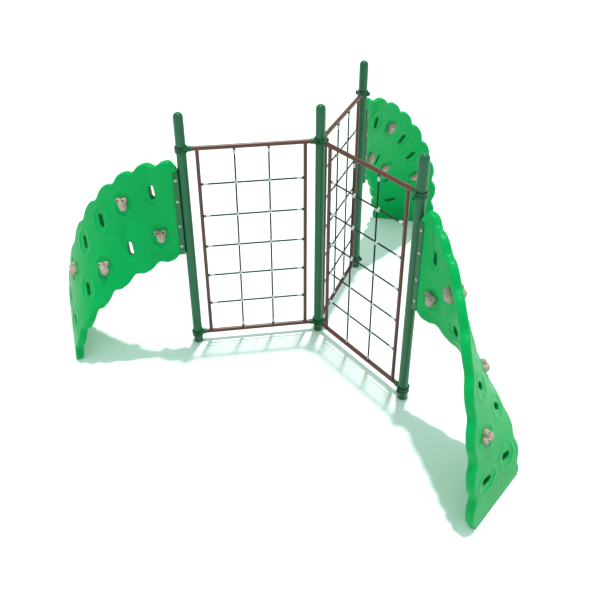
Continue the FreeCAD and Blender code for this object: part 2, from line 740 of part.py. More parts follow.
for item in sub_parts:
    if item.Shape.isNull() or not item.Shape.isValid():
        raise RuntimeError(f"{item.Label} has no valid shape")

os.makedirs("parts", exist_ok=True)
for item in sub_parts:
    item.Shape.exportStep(f"parts/{item.Label}.step")
    print(item.Label, len(item.Shape.Solids), round(item.Shape.Volume))
print(len(sub_parts), "nodes")
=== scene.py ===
import math

import bpy
import numpy as np
from mathutils import Matrix, Quaternion, Vector


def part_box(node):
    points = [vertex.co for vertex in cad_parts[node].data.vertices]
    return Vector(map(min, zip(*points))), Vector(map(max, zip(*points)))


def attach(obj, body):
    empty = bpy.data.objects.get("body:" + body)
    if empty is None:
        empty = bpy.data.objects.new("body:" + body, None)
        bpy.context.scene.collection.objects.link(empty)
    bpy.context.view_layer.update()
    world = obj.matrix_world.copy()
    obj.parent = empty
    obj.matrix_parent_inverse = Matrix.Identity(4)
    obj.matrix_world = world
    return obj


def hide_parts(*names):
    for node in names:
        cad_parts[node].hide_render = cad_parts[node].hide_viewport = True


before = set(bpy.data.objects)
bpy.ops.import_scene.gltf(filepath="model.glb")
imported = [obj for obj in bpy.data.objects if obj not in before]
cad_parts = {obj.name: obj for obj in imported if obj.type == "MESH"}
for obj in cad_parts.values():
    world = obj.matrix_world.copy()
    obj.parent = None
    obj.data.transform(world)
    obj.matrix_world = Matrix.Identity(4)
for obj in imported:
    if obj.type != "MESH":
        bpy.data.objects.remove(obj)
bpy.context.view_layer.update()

# Three-armed playground climber. Each arm holds a rope net in a steel frame, an outer post, and a
# twisted moulded climbing wall. Shapes are worked out in an arm's own frame, in millimetres: X along
# the arm from the hub, Z up. They are scaled to metres and turned to the arm's angle at the end.

MM = 0.001
ARMS = (("left", 180.0), ("back", 60.0), ("right", 300.0))
rng = np.random.default_rng(11)


# ---------------------------------------------------------------- measures taken from the frame

hub_low, hub_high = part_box("hub_post")
POST_R = (hub_high.x - hub_low.x) / 2 / MM
POST_TOP = hub_high.z / MM
left_low, left_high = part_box("post_left")
SPACING = -(left_low.x + left_high.x) / 2 / MM
POST_BORE = 41.4
rail_low, rail_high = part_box("bottom_rail_left")
RAIL_R = (rail_high.z - rail_low.z) / 2 / MM
RAIL_LOW = (rail_high.z + rail_low.z) / 2 / MM
rail_low, rail_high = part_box("top_rail_left")
RAIL_HIGH = (rail_high.z + rail_low.z) / 2 / MM
RAIL_START = 50.0
RAIL_BORE = 18.5
stile_low, stile_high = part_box("inner_stile_left")
STILE_R = (stile_high.x - stile_low.x) / 2 / MM
STILE_AT = -(stile_high.x + stile_low.x) / 2 / MM
STILE_BORE = 14.5


# ---------------------------------------------------------------- materials


def shader(name, colour, roughness, vary=0.06, patch=3.0, grain=0.0, grain_scale=300.0,
           metallic=0.0, coat=0.0, coat_roughness=0.15, specular=0.5, dirt=0.0):
    """A Principled surface with slow colour drift, uneven gloss and a fine grain."""
    mat = bpy.data.materials.new(name)
    mat.use_nodes = True
    tree = mat.node_tree
    bsdf = tree.nodes["Principled BSDF"]
    place = tree.nodes.new("ShaderNodeTexCoord")
    drift = tree.nodes.new("ShaderNodeTexNoise")
    drift.inputs["Scale"].default_value = patch
    drift.inputs["Detail"].default_value = 4.0
    tree.links.new(place.outputs["Object"], drift.inputs["Vector"])
    ramp = tree.nodes.new("ShaderNodeValToRGB")
    low = [c * (1 - vary) for c in colour]
    high = [min(c * (1 + vary), 1.0) for c in colour]
    ramp.color_ramp.elements[0].position = 0.3
    ramp.color_ramp.elements[0].color = (*low, 1)
    ramp.color_ramp.elements[1].position = 0.7
    ramp.color_ramp.elements[1].color = (*high, 1)
    tree.links.new(drift.outputs["Fac"], ramp.inputs["Fac"])
    shade = ramp.outputs["Color"]
    if dirt:
        speck = tree.nodes.new("ShaderNodeTexNoise")
        speck.inputs["Scale"].default_value = grain_scale * 0.35
        speck.inputs["Detail"].default_value = 6.0
        tree.links.new(place.outputs["Object"], speck.inputs["Vector"])
        mask = tree.nodes.new("ShaderNodeMapRange")
        mask.inputs["From Min"].default_value = 0.45
        mask.inputs["From Max"].default_value = 0.75
        mask.inputs["To Min"].default_value = 0.0
        mask.inputs["To Max"].default_value = dirt
        tree.links.new(speck.outputs["Fac"], mask.inputs["Value"])
        mix = tree.nodes.new("ShaderNodeMix")
        mix.data_type = "RGBA"
        tree.links.new(mask.outputs["Result"], mix.inputs["Factor"])
        tree.links.new(shade, mix.inputs["A"])
        mix.inputs["B"].default_value = (*[c * 0.45 for c in colour], 1)
        shade = mix.outputs["Result"]
    tree.links.new(shade, bsdf.inputs["Base Color"])
    gloss = tree.nodes.new("ShaderNodeTexNoise")
    gloss.inputs["Scale"].default_value = patch * 9
    gloss.inputs["Detail"].default_value = 5.0
    tree.links.new(place.outputs["Object"], gloss.inputs["Vector"])
    spread = tree.nodes.new("ShaderNodeMapRange")
    spread.inputs["From Min"].default_value = 0.3
    spread.inputs["From Max"].default_value = 0.7
    spread.inputs["To Min"].default_value = roughness * 0.88
    spread.inputs["To Max"].default_value = min(roughness * 1.12, 1.0)
    tree.links.new(gloss.outputs["Fac"], spread.inputs["Value"])
    tree.links.new(spread.outputs["Result"], bsdf.inputs["Roughness"])
    if grain:
        fine = tree.nodes.new("ShaderNodeTexNoise")
        fine.inputs["Scale"].default_value = grain_scale
        fine.inputs["Detail"].default_value = 3.0
        tree.links.new(place.outputs["Object"], fine.inputs["Vector"])
        bump = tree.nodes.new("ShaderNodeBump")
        bump.inputs["Strength"].default_value = grain
        bump.inputs["Distance"].default_value = 0.0006
        tree.links.new(fine.outputs["Fac"], bump.inputs["Height"])
        tree.links.new(bump.outputs["Normal"], bsdf.inputs["Normal"])
    bsdf.inputs["Metallic"].default_value = metallic
    bsdf.inputs["Coat Weight"].default_value = coat
    bsdf.inputs["Coat Roughness"].default_value = coat_roughness
    bsdf.inputs["Specular IOR Level"].default_value = specular
    return mat


def paint_shade(mat, attribute, shade_tint):
    """Paints shade: multiplies a surface's colour by a darker tint where a mesh attribute is 1."""
    tree = mat.node_tree
    base = tree.nodes["Principled BSDF"].inputs["Base Color"]
    plain = base.links[0].from_socket
    amount = tree.nodes.new("ShaderNodeAttribute")
    amount.attribute_name = attribute
    mix = tree.nodes.new("ShaderNodeMix")
    mix.data_type = "RGBA"
    mix.blend_type = "MULTIPLY"
    tree.links.new(amount.outputs["Fac"], mix.inputs["Factor"])
    tree.links.new(plain, mix.inputs["A"])
    mix.inputs["B"].default_value = (*shade_tint, 1)
    tree.links.new(mix.outputs["Result"], base)


def rgb(red, green, blue):
    """Linear colour from display values."""
    return tuple(((c / 255 + 0.055) / 1.055) ** 2.4 if c > 10 else c / 255 / 12.92
                 for c in (red, green, blue))


PLASTIC = shader("rotomoulded_green", rgb(0, 157, 80), 0.36, vary=0.05, patch=2.0, grain=0.22,
                 grain_scale=420.0, specular=0.09)
# painted shade: the inside of each slot is darkened in the colour, standing in for the shade that falls there
paint_shade(PLASTIC, "painted_slot_shade", (0.5, 0.5, 0.5))
POST_PAINT = shader("post_powder_coat", rgb(20, 92, 58), 0.33, grain=0.10, grain_scale=700.0,
                    coat=0.06, coat_roughness=0.2, specular=0.32)
CLAMP_PAINT = shader("clamp_powder_coat", rgb(8, 80, 44), 0.34, grain=0.25, grain_scale=500.0,
                     coat=0.06, coat_roughness=0.2, specular=0.32)
BRACKET_PAINT = shader("bracket_powder_coat", rgb(34, 100, 64), 0.42, grain=0.12,
                       grain_scale=600.0, specular=0.3)
FRAME_PAINT = shader("brown_powder_coat", rgb(92, 42, 35), 0.34, grain=0.14, grain_scale=600.0,
                     coat=0.12, coat_roughness=0.2, specular=0.4)
ROPE = shader("rope_braid", rgb(34, 34, 38), 0.72, vary=0.25, patch=90.0, grain=0.8,
              grain_scale=1400.0, specular=0.3)
FITTING = shader("grey_fitting", rgb(186, 188, 190), 0.38, grain=0.15, grain_scale=800.0)
CUP = shader("dark_cup", rgb(58, 42, 37), 0.40, grain=0.15, grain_scale=800.0)
ROCK = shader("cast_rock", rgb(182, 155, 147), 0.78, vary=0.10, patch=26.0, grain=1.0,
              grain_scale=260.0, dirt=0.35, specular=0.3)
STEEL = shader("zinc_dome", rgb(188, 172, 160), 0.34, metallic=0.75, grain=0.1, grain_scale=900.0)
PAINTED_BOLT = shader("painted_bolt", rgb(26, 82, 54), 0.36, grain=0.15, grain_scale=900.0)
DARK_BOLT = shader("dark_bolt", rgb(28, 23, 22), 0.5, metallic=0.3, grain=0.15, grain_scale=900.0)


# ---------------------------------------------------------------- meshes


def build_mesh(name, points, faces, smooth=True):
    """A mesh from points in millimetres and faces of any one size."""
    mesh = bpy.data.meshes.new(name)
    points = np.asarray(points, float) * MM
    faces = np.asarray(faces, np.int64)
    count, sides = faces.shape
    mesh.vertices.add(len(points))
    mesh.vertices.foreach_set("co", points.astype(np.float32).ravel())
    mesh.loops.add(count * sides)
    mesh.loops.foreach_set("vertex_index", faces.astype(np.int32).ravel())
    mesh.polygons.add(count)
    mesh.polygons.foreach_set("loop_start", (np.arange(count) * sides).astype(np.int32))
    mesh.update(calc_edges=True)
    mesh.validate()
    mesh.polygons.foreach_set("use_smooth", np.full(count, smooth))
    return mesh


class Solid:
    """Points and quads gathered from several closed shapes."""

    def __init__(self):
        self.points = []
        self.faces = []
        self.count = 0

    def add(self, points, faces, place=None):
        points = np.asarray(points, float)
        if place is not None:
            matrix = np.array(place)
            points = points @ matrix[:3, :3].T + matrix[:3, 3]
        self.points.append(points)
        self.faces.append(np.asarray(faces, np.int64) + self.count)
        self.count += len(points)
        return self

    def mesh(self, name, smooth=True):
        return build_mesh(name, np.concatenate(self.points), np.concatenate(self.faces), smooth)


def show(name, mesh, material, nodes, angle=0.0, sharp=None):
    """Puts a finished mesh in the scene in place of its CAD nodes."""
    piece = bpy.data.objects.new(name, mesh)
    bpy.context.scene.collection.objects.link(piece)
    if not mesh.materials:
        mesh.materials.append(material)
    if sharp is not None:
        mesh.set_sharp_from_angle(angle=math.radians(sharp))
    piece.rotation_euler.z = math.radians(angle)
    bpy.context.view_layer.update()
    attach(piece, "root")
    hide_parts(*nodes)
    return piece


def turned(profile, sides=48, closed=False):
    """Quads of a profile of (radius, height) turned round Z. Ends with radius 0 make a tip."""
    profile = np.asarray(profile, float)
    angles = np.arange(sides) * (2 * math.pi / sides)
    rings = len(profile)
    x = profile[:, None, 0] * np.cos(angles)[None, :]
    y = profile[:, None, 0] * np.sin(angles)[None, :]
    z = np.repeat(profile[:, 1][:, None], sides, axis=1)
    points = np.stack([x, y, z], axis=-1).reshape(-1, 3)
    faces = []
    steps = rings if closed else rings - 1
    for i in range(steps):
        j = (i + 1) % rings
        a = i * sides + np.arange(sides)
        b = i * sides + (np.arange(sides) + 1) % sides
        c = j * sides + (np.arange(sides) + 1) % sides
        d = j * sides + np.arange(sides)
        faces.append(np.stack([a, b, c, d], axis=-1))
    return points, np.concatenate(faces)


def round_corner(centre, radius, start, end, steps=5):
    """Profile points along an arc, angles in degrees."""
    out = []
    for i in range(steps + 1):
        a = math.radians(start + (end - start) * i / steps)
        out.append((centre[0] + radius * math.cos(a), centre[1] + radius * math.sin(a)))
    return out


def along_x(x, y, z):
    """A placement whose Z runs along the arm."""
    return Matrix.Translation((x, y, z)) @ Matrix.Rotation(math.radians(90), 4, "Y")


def surface_of(field):
    """Quads of the zero surface of a grid of distances, one point in each crossed cell."""
    inside = field < 0
    shape = tuple(n - 1 for n in field.shape)
    total = np.zeros(shape + (3,), np.float32)
    hits = np.zeros(shape, np.int16)
    base = np.stack(np.meshgrid(*[np.arange(n) for n in shape], indexing="ij"), axis=-1)
    crossings = []
    for axis in range(3):
        others = [a for a in range(3) if a != axis]
        ahead = [slice(None)] * 3
        behind = [slice(None)] * 3
        ahead[axis] = slice(1, None)
        behind[axis] = slice(None, -1)
        first = field[tuple(behind)]
        second = field[tuple(ahead)]
        crossed = inside[tuple(behind)] != inside[tuple(ahead)]
        crossings.append((crossed, inside[tuple(behind)]))
        with np.errstate(divide="ignore", invalid="ignore"):
            part = np.where(crossed, first / (first - second), 0.0)
        for one in (0, 1):
            for two in (0, 1):
                pick = [slice(None)] * 3
                pick[others[0]] = slice(one, one + shape[others[0]])
                pick[others[1]] = slice(two, two + shape[others[1]])
                here = crossed[tuple(pick)]
                where = base.astype(np.float32).copy()
                where[..., axis] += part[tuple(pick)]
                where[..., others[0]] += one
                where[..., others[1]] += two
                total += where * here[..., None]
                hits += here
    cells = hits > 0
    number = np.full(shape, -1, np.int64)
    number[cells] = np.arange(cells.sum())
    points = total[cells] / hits[cells][:, None]
    faces = []
    for axis in range(3):
        crossed, starts_inside = crossings[axis]
        one, two = [(1, 2), (2, 0), (0, 1)][axis]
        found = np.argwhere(crossed)
        low_enough = (found[:, one] > 0) & (found[:, two] > 0)
        low_enough &= (found[:, one] < shape[one]) & (found[:, two] < shape[two])
        found = found[low_enough]
        corner = []
        for step_one, step_two in ((-1, -1), (0, -1), (0, 0), (-1, 0)):
            cell = found.copy()
            cell[:, one] += step_one
            cell[:, two] += step_two
            corner.append(number[cell[:, 0], cell[:, 1], cell[:, 2]])
        quad = np.stack(corner, axis=-1)
        outward = starts_inside[found[:, 0], found[:, 1], found[:, 2]]
        quad[~outward] = quad[~outward][:, ::-1]
        faces.append(quad)
    return points, np.concatenate(faces)


def rounded_cut(first, second, radius):
    """Where two distances are both inside, with the meeting edge rounded."""
    a = np.maximum(first + radius, 0)
    b = np.maximum(second + radius, 0)
    return np.minimum(-radius, np.maximum(first, second)) + np.sqrt(a * a + b * b)


def blended(first, second, radius):
    """Where either distance is inside, with a fillet between them."""
    return -rounded_cut(-first, -second, radius)


def sculpt(distance, low, high, cell):
    """A mesh of a distance function of (x, y, z) inside a box, in millimetres."""
    low = np.asarray(low, float)
    counts = [int(math.ceil((h - l) / cell)) + 1 for l, h in zip(low, high)]
    axes = [low[i] + cell * np.arange(counts[i]) for i in range(3)]
    x, y, z = np.meshgrid(*axes, indexing="ij")
    points, faces = surface_of(distance(x, y, z))
    points = low + points * cell
    for _ in range(2):
        here = distance(*points.T)
        step = 0.2
        slope = np.stack([distance(*(points + np.eye(3)[i] * step).T) - here for i in range(3)], -1) / step
        size = np.maximum((slope * slope).sum(-1), 0.2)
        move = -(here / size)[:, None] * slope
        length = np.sqrt((move * move).sum(-1))
        points = points + move * np.minimum(1.0, 0.6 * cell / np.maximum(length, 1e-9))[:, None]
    return points, faces


# ---------------------------------------------------------------- the wall's shape, as in the CAD

QUARTER = math.pi / 2
PANEL_START = 50.6
PANEL_HALF = 38.0
INNER = (1164.0, 1046.0, 1.68)
OUTER = (1300.0, 2036.0, 1.91)
INNER_SWEEP = 122.0
INNER_BOW = 79.0
OUTER_SWEEP = 583.0
OUTER_BOW = 115.0
BRACKET_TURN = math.radians(4.2)
SWING_TURN = math.radians(13.0)
OUTER_SCALLOPS = 9
INNER_SCALLOPS = 7
INNER_PHASE = math.radians(3.0)
CORNER_TURN = math.radians(3.4)
CORNER_DROP = 42.0
SCALLOP = 20.0


def arch(turn, reach, height, fullness):
    out = np.maximum(np.sin(turn), 0.0) ** (2 / fullness)
    rise = np.maximum(np.cos(turn), 0.0) ** (2 / fullness)
    return PANEL_START + (reach - PANEL_START) * out, height * rise


def middle(turn, share):
    """Points of the wall's middle surface, share 0 on the lower edge and 1 on the upper."""
    turn, share = np.broadcast_arrays(np.asarray(turn, float), np.asarray(share, float))
    sine = np.sin(turn)
    double = np.sin(2 * turn)
    part = np.clip((turn - BRACKET_TURN) / (SWING_TURN - BRACKET_TURN), 0.0, 1.0)
    leave = part * part * (3 - 2 * part)
    inner_out, inner_up = arch(turn, *INNER)
    outer_out, outer_up = arch(turn, *OUTER)
    sine_safe = np.maximum(sine, 0.0)
    inner_across = leave * (INNER_SWEEP * sine_safe ** 3.7 + INNER_BOW * double)
    outer_across = leave * (-OUTER_SWEEP * (0.09 * sine + 0.91 * sine * sine) - OUTER_BOW * double)
    x = SPACING + inner_out * (1 - share) + outer_out * share
    y = inner_across * (1 - share) + outer_across * share
    z = inner_up * (1 - share) + outer_up * share
    return np.stack([x, y, z], axis=-1)


def unit(vectors):
    return vectors / np.maximum(np.linalg.norm(vectors, axis=-1, keepdims=True), 1e-12)


def ruling(turn):
    return middle(turn, 1.0) - middle(turn, 0.0)


def facing(turn, share):
    step = math.radians(0.4)
    centre = np.clip(turn, step, QUARTER - math.radians(1.0))
    forward = middle(centre + step, share) - middle(centre - step, share)
    normal = unit(np.cross(ruling(centre), forward))
    level = np.clip((QUARTER - np.asarray(turn, float)) / math.radians(8.0), 0.0, 1.0)
    normal[..., 2] = normal[..., 2] * level
    return unit(normal)


def ripple(phase):
    return -np.cos(2 * math.pi * phase) - 0.2 * np.cos(4 * math.pi * phase)


def edge_rise(turn, upper):
    """How far the scalloped edge stands beyond its arch, along the ruling."""
    rest = np.maximum(1 - turn / CORNER_TURN, 0.0)
    if upper:
        phase = turn / QUARTER * OUTER_SCALLOPS
    else:
        phase = (turn - INNER_PHASE) / QUARTER * INNER_SCALLOPS
    return SCALLOP * ripple(phase) - CORNER_DROP * rest * rest


def wall_place(turn, share, side=1):
    """A place on the middle surface: Z out of the face, Y up the ruling."""
    normal = facing(turn, share) * side
    along = unit(ruling(turn))
    across = np.cross(along, normal)
    place = np.eye(4)
    place[:3, 0] = across
    place[:3, 1] = along
    place[:3, 2] = normal
    place[:3, 3] = middle(turn, share)
    return place


OUTER_FEATURES = ("slot", "hold", "slot", "slot", "hold", "slot")
OUTER_SHARE = 0.735
OUTER_TURNS = (12.6, 26.4, 39.0, 51.3, 64.0, 76.6)
INNER_FEATURES = ("hold", "slot", "hold", "slot", "slot")
INNER_SHARE = 0.295
INNER_TURNS = (12.4, 28.2, 42.7, 55.8, 73.4)
FEATURES = [(math.radians(a), OUTER_SHARE, k) for a, k in zip(OUTER_TURNS, OUTER_FEATURES)]
FEATURES += [(math.radians(a), INNER_SHARE, k) for a, k in zip(INNER_TURNS, INNER_FEATURES)]

SLOT_HALF = 25.0
SLOT_STRAIGHT = 40.0
SLOT_LIP = 7.0
EDGE_ROUND = 25.0
SLOT_DISH = 5.0
ROCK_DISH = 7.0
DISH_RAMP = 38.0
DISH_REACH_X = 110.0
DISH_REACH_Y = 142.0
LIP_RISE = 4.2
LIP_HALF = 14.0


class Panel:
    """The moulded wall as a distance in (run, share, depth): run is the length down its middle."""

    def __init__(self):
        fine = np.linspace(0, QUARTER, 4001)
        line = middle(fine, 0.8)
        steps = np.linalg.norm(np.diff(line, axis=0), axis=1)
        self.run_of = np.concatenate([[0], np.cumsum(steps)])
        self.turn_of = fine
        self.run = self.run_of[-1]
        self.length = np.linalg.norm(ruling(fine), axis=1)
        self.upper = edge_rise(fine, True)
        self.lower = edge_rise(fine, False)
        self.slant = []
        for upper, rise in ((True, self.upper), (False, self.lower)):
            share = 1 + rise / self.length if upper else -rise / self.length
            edge = middle(fine, share)
            tangent = unit(np.gradient(edge, axis=0))
            across = unit(ruling(fine))
            self.slant.append(np.linalg.norm(np.cross(tangent, across), axis=1))
        self.marks = []
        for turn, share, kind in FEATURES:
            corners = []
            sides = 6
            for i in range(sides):
                bearing = 2 * math.pi * (i + 0.5 + rng.uniform(-0.16, 0.16)) / sides
                reach_x = DISH_REACH_X + rng.uniform(-9, 9)
                reach_y = DISH_REACH_Y + rng.uniform(-10, 10)
                corners.append((reach_x * math.cos(bearing), reach_y * math.sin(bearing)))
            for side in (1, -1):
                place = wall_place(turn, share, side)
                self.marks.append((kind, side, np.linalg.inv(place), np.array(corners)))

    def points(self, run, share, depth):
        inside = np.clip(run, 0, self.run)
        turn = np.interp(inside, self.run_of, self.turn_of)
        out = middle(turn, share) + facing(turn, share) * np.asarray(depth)[..., None]
        out[..., 0] += np.minimum(run, 0)
        out[..., 2] -= np.maximum(run - self.run, 0)
        return out

    def relief(self, where, depth):
        """How far the face is raised by the dishes round the slots and rocks."""
        rise = np.zeros(depth.shape)
        for kind, side, flat, corners in self.marks:
            offset = where - np.linalg.inv(flat)[:3, 3]
            near = ((offset * offset).sum(-1) < 210.0 ** 2) & (depth * side > 0)
            if not near.any():
                continue
            local = where[near] @ flat[:3, :3].T + flat[:3, 3]
            x, y = local[:, 0] * side, local[:, 1]
            reach = np.full(x.shape, -1e9)
            for i in range(len(corners)):
                a, b = corners[i], corners[(i + 1) % len(corners)]
                normal = np.array([b[1] - a[1], a[0] - b[0]])
                normal /= np.linalg.norm(normal)
                away = (x - a[0]) * normal[0] + (y - a[1]) * normal[1]
                reach = rounded_cut(reach, away, 20.0) if i else away
            part = np.clip(-reach / DISH_RAMP, 0.0, 1.0)
            deep = ROCK_DISH if kind == "hold" else SLOT_DISH
            dish = -deep * part * part * (3 - 2 * part)
            lip = LIP_RISE * np.exp(-((reach - 5.0) / LIP_HALF) ** 2)
            rise[near] += dish + lip
        return rise

    def distance(self, run, share, depth, where):
        inside = np.clip(run, 0, self.run)
        turn = np.interp(inside, self.run_of, self.turn_of)
        length = np.interp(turn, self.turn_of, self.length)
        upper = np.interp(turn, self.turn_of, self.upper)
        lower = np.interp(turn, self.turn_of, self.lower)
        slant_up = np.interp(turn, self.turn_of, self.slant[0])
        slant_low = np.interp(turn, self.turn_of, self.slant[1])
        above = ((share - 1) * length - upper) * slant_up
        below = (-share * length - lower) * slant_low
        edge = np.maximum(above, below)
        face = np.abs(depth) - PANEL_HALF - self.relief(where, depth)
        slab = rounded_cut(edge, face, EDGE_ROUND)
        slab = rounded_cut(slab, -run, 5.0)
        slab = rounded_cut(slab, run - self.run, 1.5)
        for hole, _ in self.slot_reach(where):
            slab = rounded_cut(slab, np.minimum(-hole, 60.0), SLOT_LIP)
        return slab

    def slot_reach(self, where):
        """For each slot, the distance out from its side and from the wall's middle surface."""
        for kind, side, flat, _ in self.marks:
            if kind == "slot" and side > 0:
                local = where @ flat[:3, :3].T + flat[:3, 3]
                beyond = np.maximum(np.abs(local[..., 1]) - SLOT_STRAIGHT, 0)
                yield np.hypot(local[..., 0], beyond) - SLOT_HALF, np.abs(local[..., 2])

    def painted_slot_shade(self, where):
        """How deep in a slot each point is, 0 on the wall's faces and 1 well inside: the mask of painted
        shade inside the slots.
        """
        shade = np.zeros(len(where))
        for hole, away in self.slot_reach(where):
            inside = np.clip((9.0 - hole) / 5.0, 0.0, 1.0)
            shade = np.maximum(shade, inside * np.clip((PANEL_HALF + 2 - away) / 16.0, 0.0, 1.0))
        return shade

    def build(self, run_cell=7.0, share_count=148, depth_cell=5.6):
        margin = 24.0
        runs = np.arange(-margin, self.run + margin, run_cell)
        shares = np.linspace(-0.075, 1.06, share_count)
        reach = PANEL_HALF + 10.0
        depths = np.arange(-reach, reach + depth_cell, depth_cell)
        run, share, depth = np.meshgrid(runs, shares, depths, indexing="ij")
        field = self.distance(run, share, depth, self.points(run, share, depth))
        points, faces = surface_of(field)
        place = np.stack([runs[0] + points[:, 0] * run_cell,
                          shares[0] + points[:, 1] * (shares[1] - shares[0]),
                          depths[0] + points[:, 2] * depth_cell], axis=-1).astype(float)
        scale = np.array([1.0, 1.0 / 850.0, 1.0])
        for _ in range(2):
            here = self.distance(*place.T, self.points(*place.T))
            slope = []
            for i in range(3):
                nudged = place + np.eye(3)[i] * scale[i] * 0.3
                slope.append((self.distance(*nudged.T, self.points(*nudged.T)) - here) / 0.3)
            slope = np.stack(slope, -1)
            size = np.maximum((slope * slope).sum(-1), 0.3)
            move = -(here / size)[:, None] * slope
            reach = np.sqrt((move * move).sum(-1))
            move *= np.minimum(1.0, 3.0 / np.maximum(reach, 1e-9))[:, None]
            place += move * scale
        out = self.points(*place.T)
        out[:, 2] = np.maximum(out[:, 2], 0.0)
        return out, faces


def outward(points, faces):
    """The same quads, turned so that the solid's volume is positive."""
    p = points[faces]
    volume = (np.cross(p[:, 0], p[:, 1]) * p[:, 2]).sum() + (np.cross(p[:, 0], p[:, 2]) * p[:, 3]).sum()
    return faces if volume > 0 else faces[:, ::-1]


panel = Panel()
panel_points, panel_faces = panel.build(*(((7.0, 148, 5.6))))
panel_faces = outward(panel_points, panel_faces)
panel_mesh = build_mesh("panel", panel_points, panel_faces)
# the mask of painted shade inside the slots, read by the wall's material
panel_mesh.attributes.new("painted_slot_shade", "FLOAT", "POINT").data.foreach_set(
    "value", panel.painted_slot_shade(panel_points).astype(np.float32))
for arm, angle in ARMS:
    show(f"panel_{arm}", panel_mesh, PLASTIC, [f"climbing_wall_{arm}"], angle)


# ---------------------------------------------------------------- cast rocks and their bolts

EAR_X = 30.0
EAR_Y = 34.0
RECESS_R = 10.5
RECESS_FLOOR = 26.0


def ball(x, y, z, centre, radii):
    """A rough distance to an ellipsoid."""
    dx, dy, dz = (x - centre[0]) / radii[0], (y - centre[1]) / radii[1], (z - centre[2]) / radii[2]
    return (np.sqrt(dx * dx + dy * dy + dz * dz) - 1) * min(radii)


def rock_distance(x, y, z):
    body = ball(x, y, z, (0, -10, 6), (39, 46, 44))
    chin = ball(x, y, z, (0, -38, 8), (30, 30, 34))
    rock = blended(body, chin, 14)
    for side in (-1, 1):
        ear = ball(x, y, z, (side * EAR_X, EAR_Y, 10), (25, 25, 34))
        rock = blended(rock, ear, 12)
    crease = ball(x, y, z, (0, 58, 30), (16, 26, 30))
    rock = rounded_cut(rock, -crease, 9)
    lumps = 1.5 * np.sin(x / 9.0 + 1.3) * np.sin(y / 11.0) + 1.1 * np.sin(x / 5.0 + y / 7.0 + z / 6.0)
    rock = rock + lumps
    rock = rounded_cut(rock, z - 50, 6)
    rock = rounded_cut(rock, -z - 13, 2)
    for side in (-1, 1):
        bore = np.maximum(np.hypot(x - side * EAR_X, y - EAR_Y) - RECESS_R, RECESS_FLOOR - z)
        rock = rounded_cut(rock, -bore, 2.5)
    return rock


def seat_rise(turn, share, side, reach=72.0):
    """How far the wall's plain face stands above its tangent plane under a rock."""
    flat = np.linalg.inv(wall_place(turn, share, side))
    rise = 0.0
    for i in range(-5, 6):
        for j in range(-5, 6):
            near_turn = turn + math.radians(i)
            near_share = share + j * 0.02
            point = middle(near_turn, near_share) + facing(near_turn, near_share) * (side * PANEL_HALF)
            local = flat[:3, :3] @ point + flat[:3, 3]
            if math.hypot(local[0], local[1]) < reach:
                rise = max(rise, local[2] - PANEL_HALF)
    return rise


rock_points, rock_faces = sculpt(rock_distance, (-66, -78, -18), (66, 72, 58), 3.6)
rock_faces = outward(rock_points, rock_faces)


def button_head(radius, height, socket):
    """A round head with a hex socket sunk in its top, standing on Z = 0."""
    profile = [(0.0, -1.0), (radius, -1.0), (radius, height * 0.35)]
    profile += round_corner((radius - height * 0.65, height * 0.35), height * 0.65, 0, 82)
    profile += [(socket, height), (socket * 0.92, height - 0.6), (socket * 0.9, height * 0.35),
                (0.0, height * 0.3)]
    return turned(profile, 24)


def hex_nut(width, height, bore):
    """A hexagonal nut with chamfered corners round a bore."""
    corner = width / 2 / math.cos(math.radians(30))
    rings = []
    for shrink, level in ((0.93, 0.0), (1.0, 0.09), (1.0, 0.91), (0.93, 1.0)):
        ring = []
        for i in range(24):
            bearing = math.radians(15 * i)
            off_flat = (bearing % math.radians(60)) - math.radians(30)
            flat = corner * math.cos(math.radians(30)) / math.cos(off_flat)
            ring.append((min(flat, corner * 0.985) * shrink * math.cos(bearing),
                         min(flat, corner * 0.985) * shrink * math.sin(bearing), height * level))
        rings.append(ring)
    for level in (1.0, 0.0):
        rings.append([(bore * math.cos(math.radians(15 * i)), bore * math.sin(math.radians(15 * i)),
                       height * level) for i in range(24)])
    points = np.array(rings).reshape(-1, 3)
    faces = []
    count = len(rings)
    for r in range(count):
        s = (r + 1) % count
        for i in range(24):
            j = (i + 1) % 24
            faces.append((r * 24 + i, r * 24 + j, s * 24 + j, s * 24 + i))
    return points, np.array(faces)


rocks = Solid()
rock_bolts = Solid()
for turn, share, kind in FEATURES:
    if kind != "hold":
        continue
    for side in (1, -1):
        seat = PANEL_HALF + seat_rise(turn, share, side)
        place = Matrix(wall_place(turn, share, side).tolist()) @ Matrix.Translation((0, 0, seat))
        rocks.add(rock_points, rock_faces, place)
        for x in (-EAR_X, EAR_X):
            head = place @ Matrix.Translation((x, EAR_Y, RECESS_FLOOR))
            rock_bolts.add(*button_head(9.2, 7.5, 4.2), head)
rock_mesh = rocks.mesh("rocks")
rock_bolt_mesh = rock_bolts.mesh("rock_bolts")
for arm, angle in ARMS:
    show(f"rocks_{arm}", rock_mesh, ROCK, [f"rock_holds_{arm}"], angle)
    show(f"rock_bolts_{arm}", rock_bolt_mesh, DARK_BOLT, ["hold_bolts"], angle, 35)


# ---------------------------------------------------------------- posts and caps

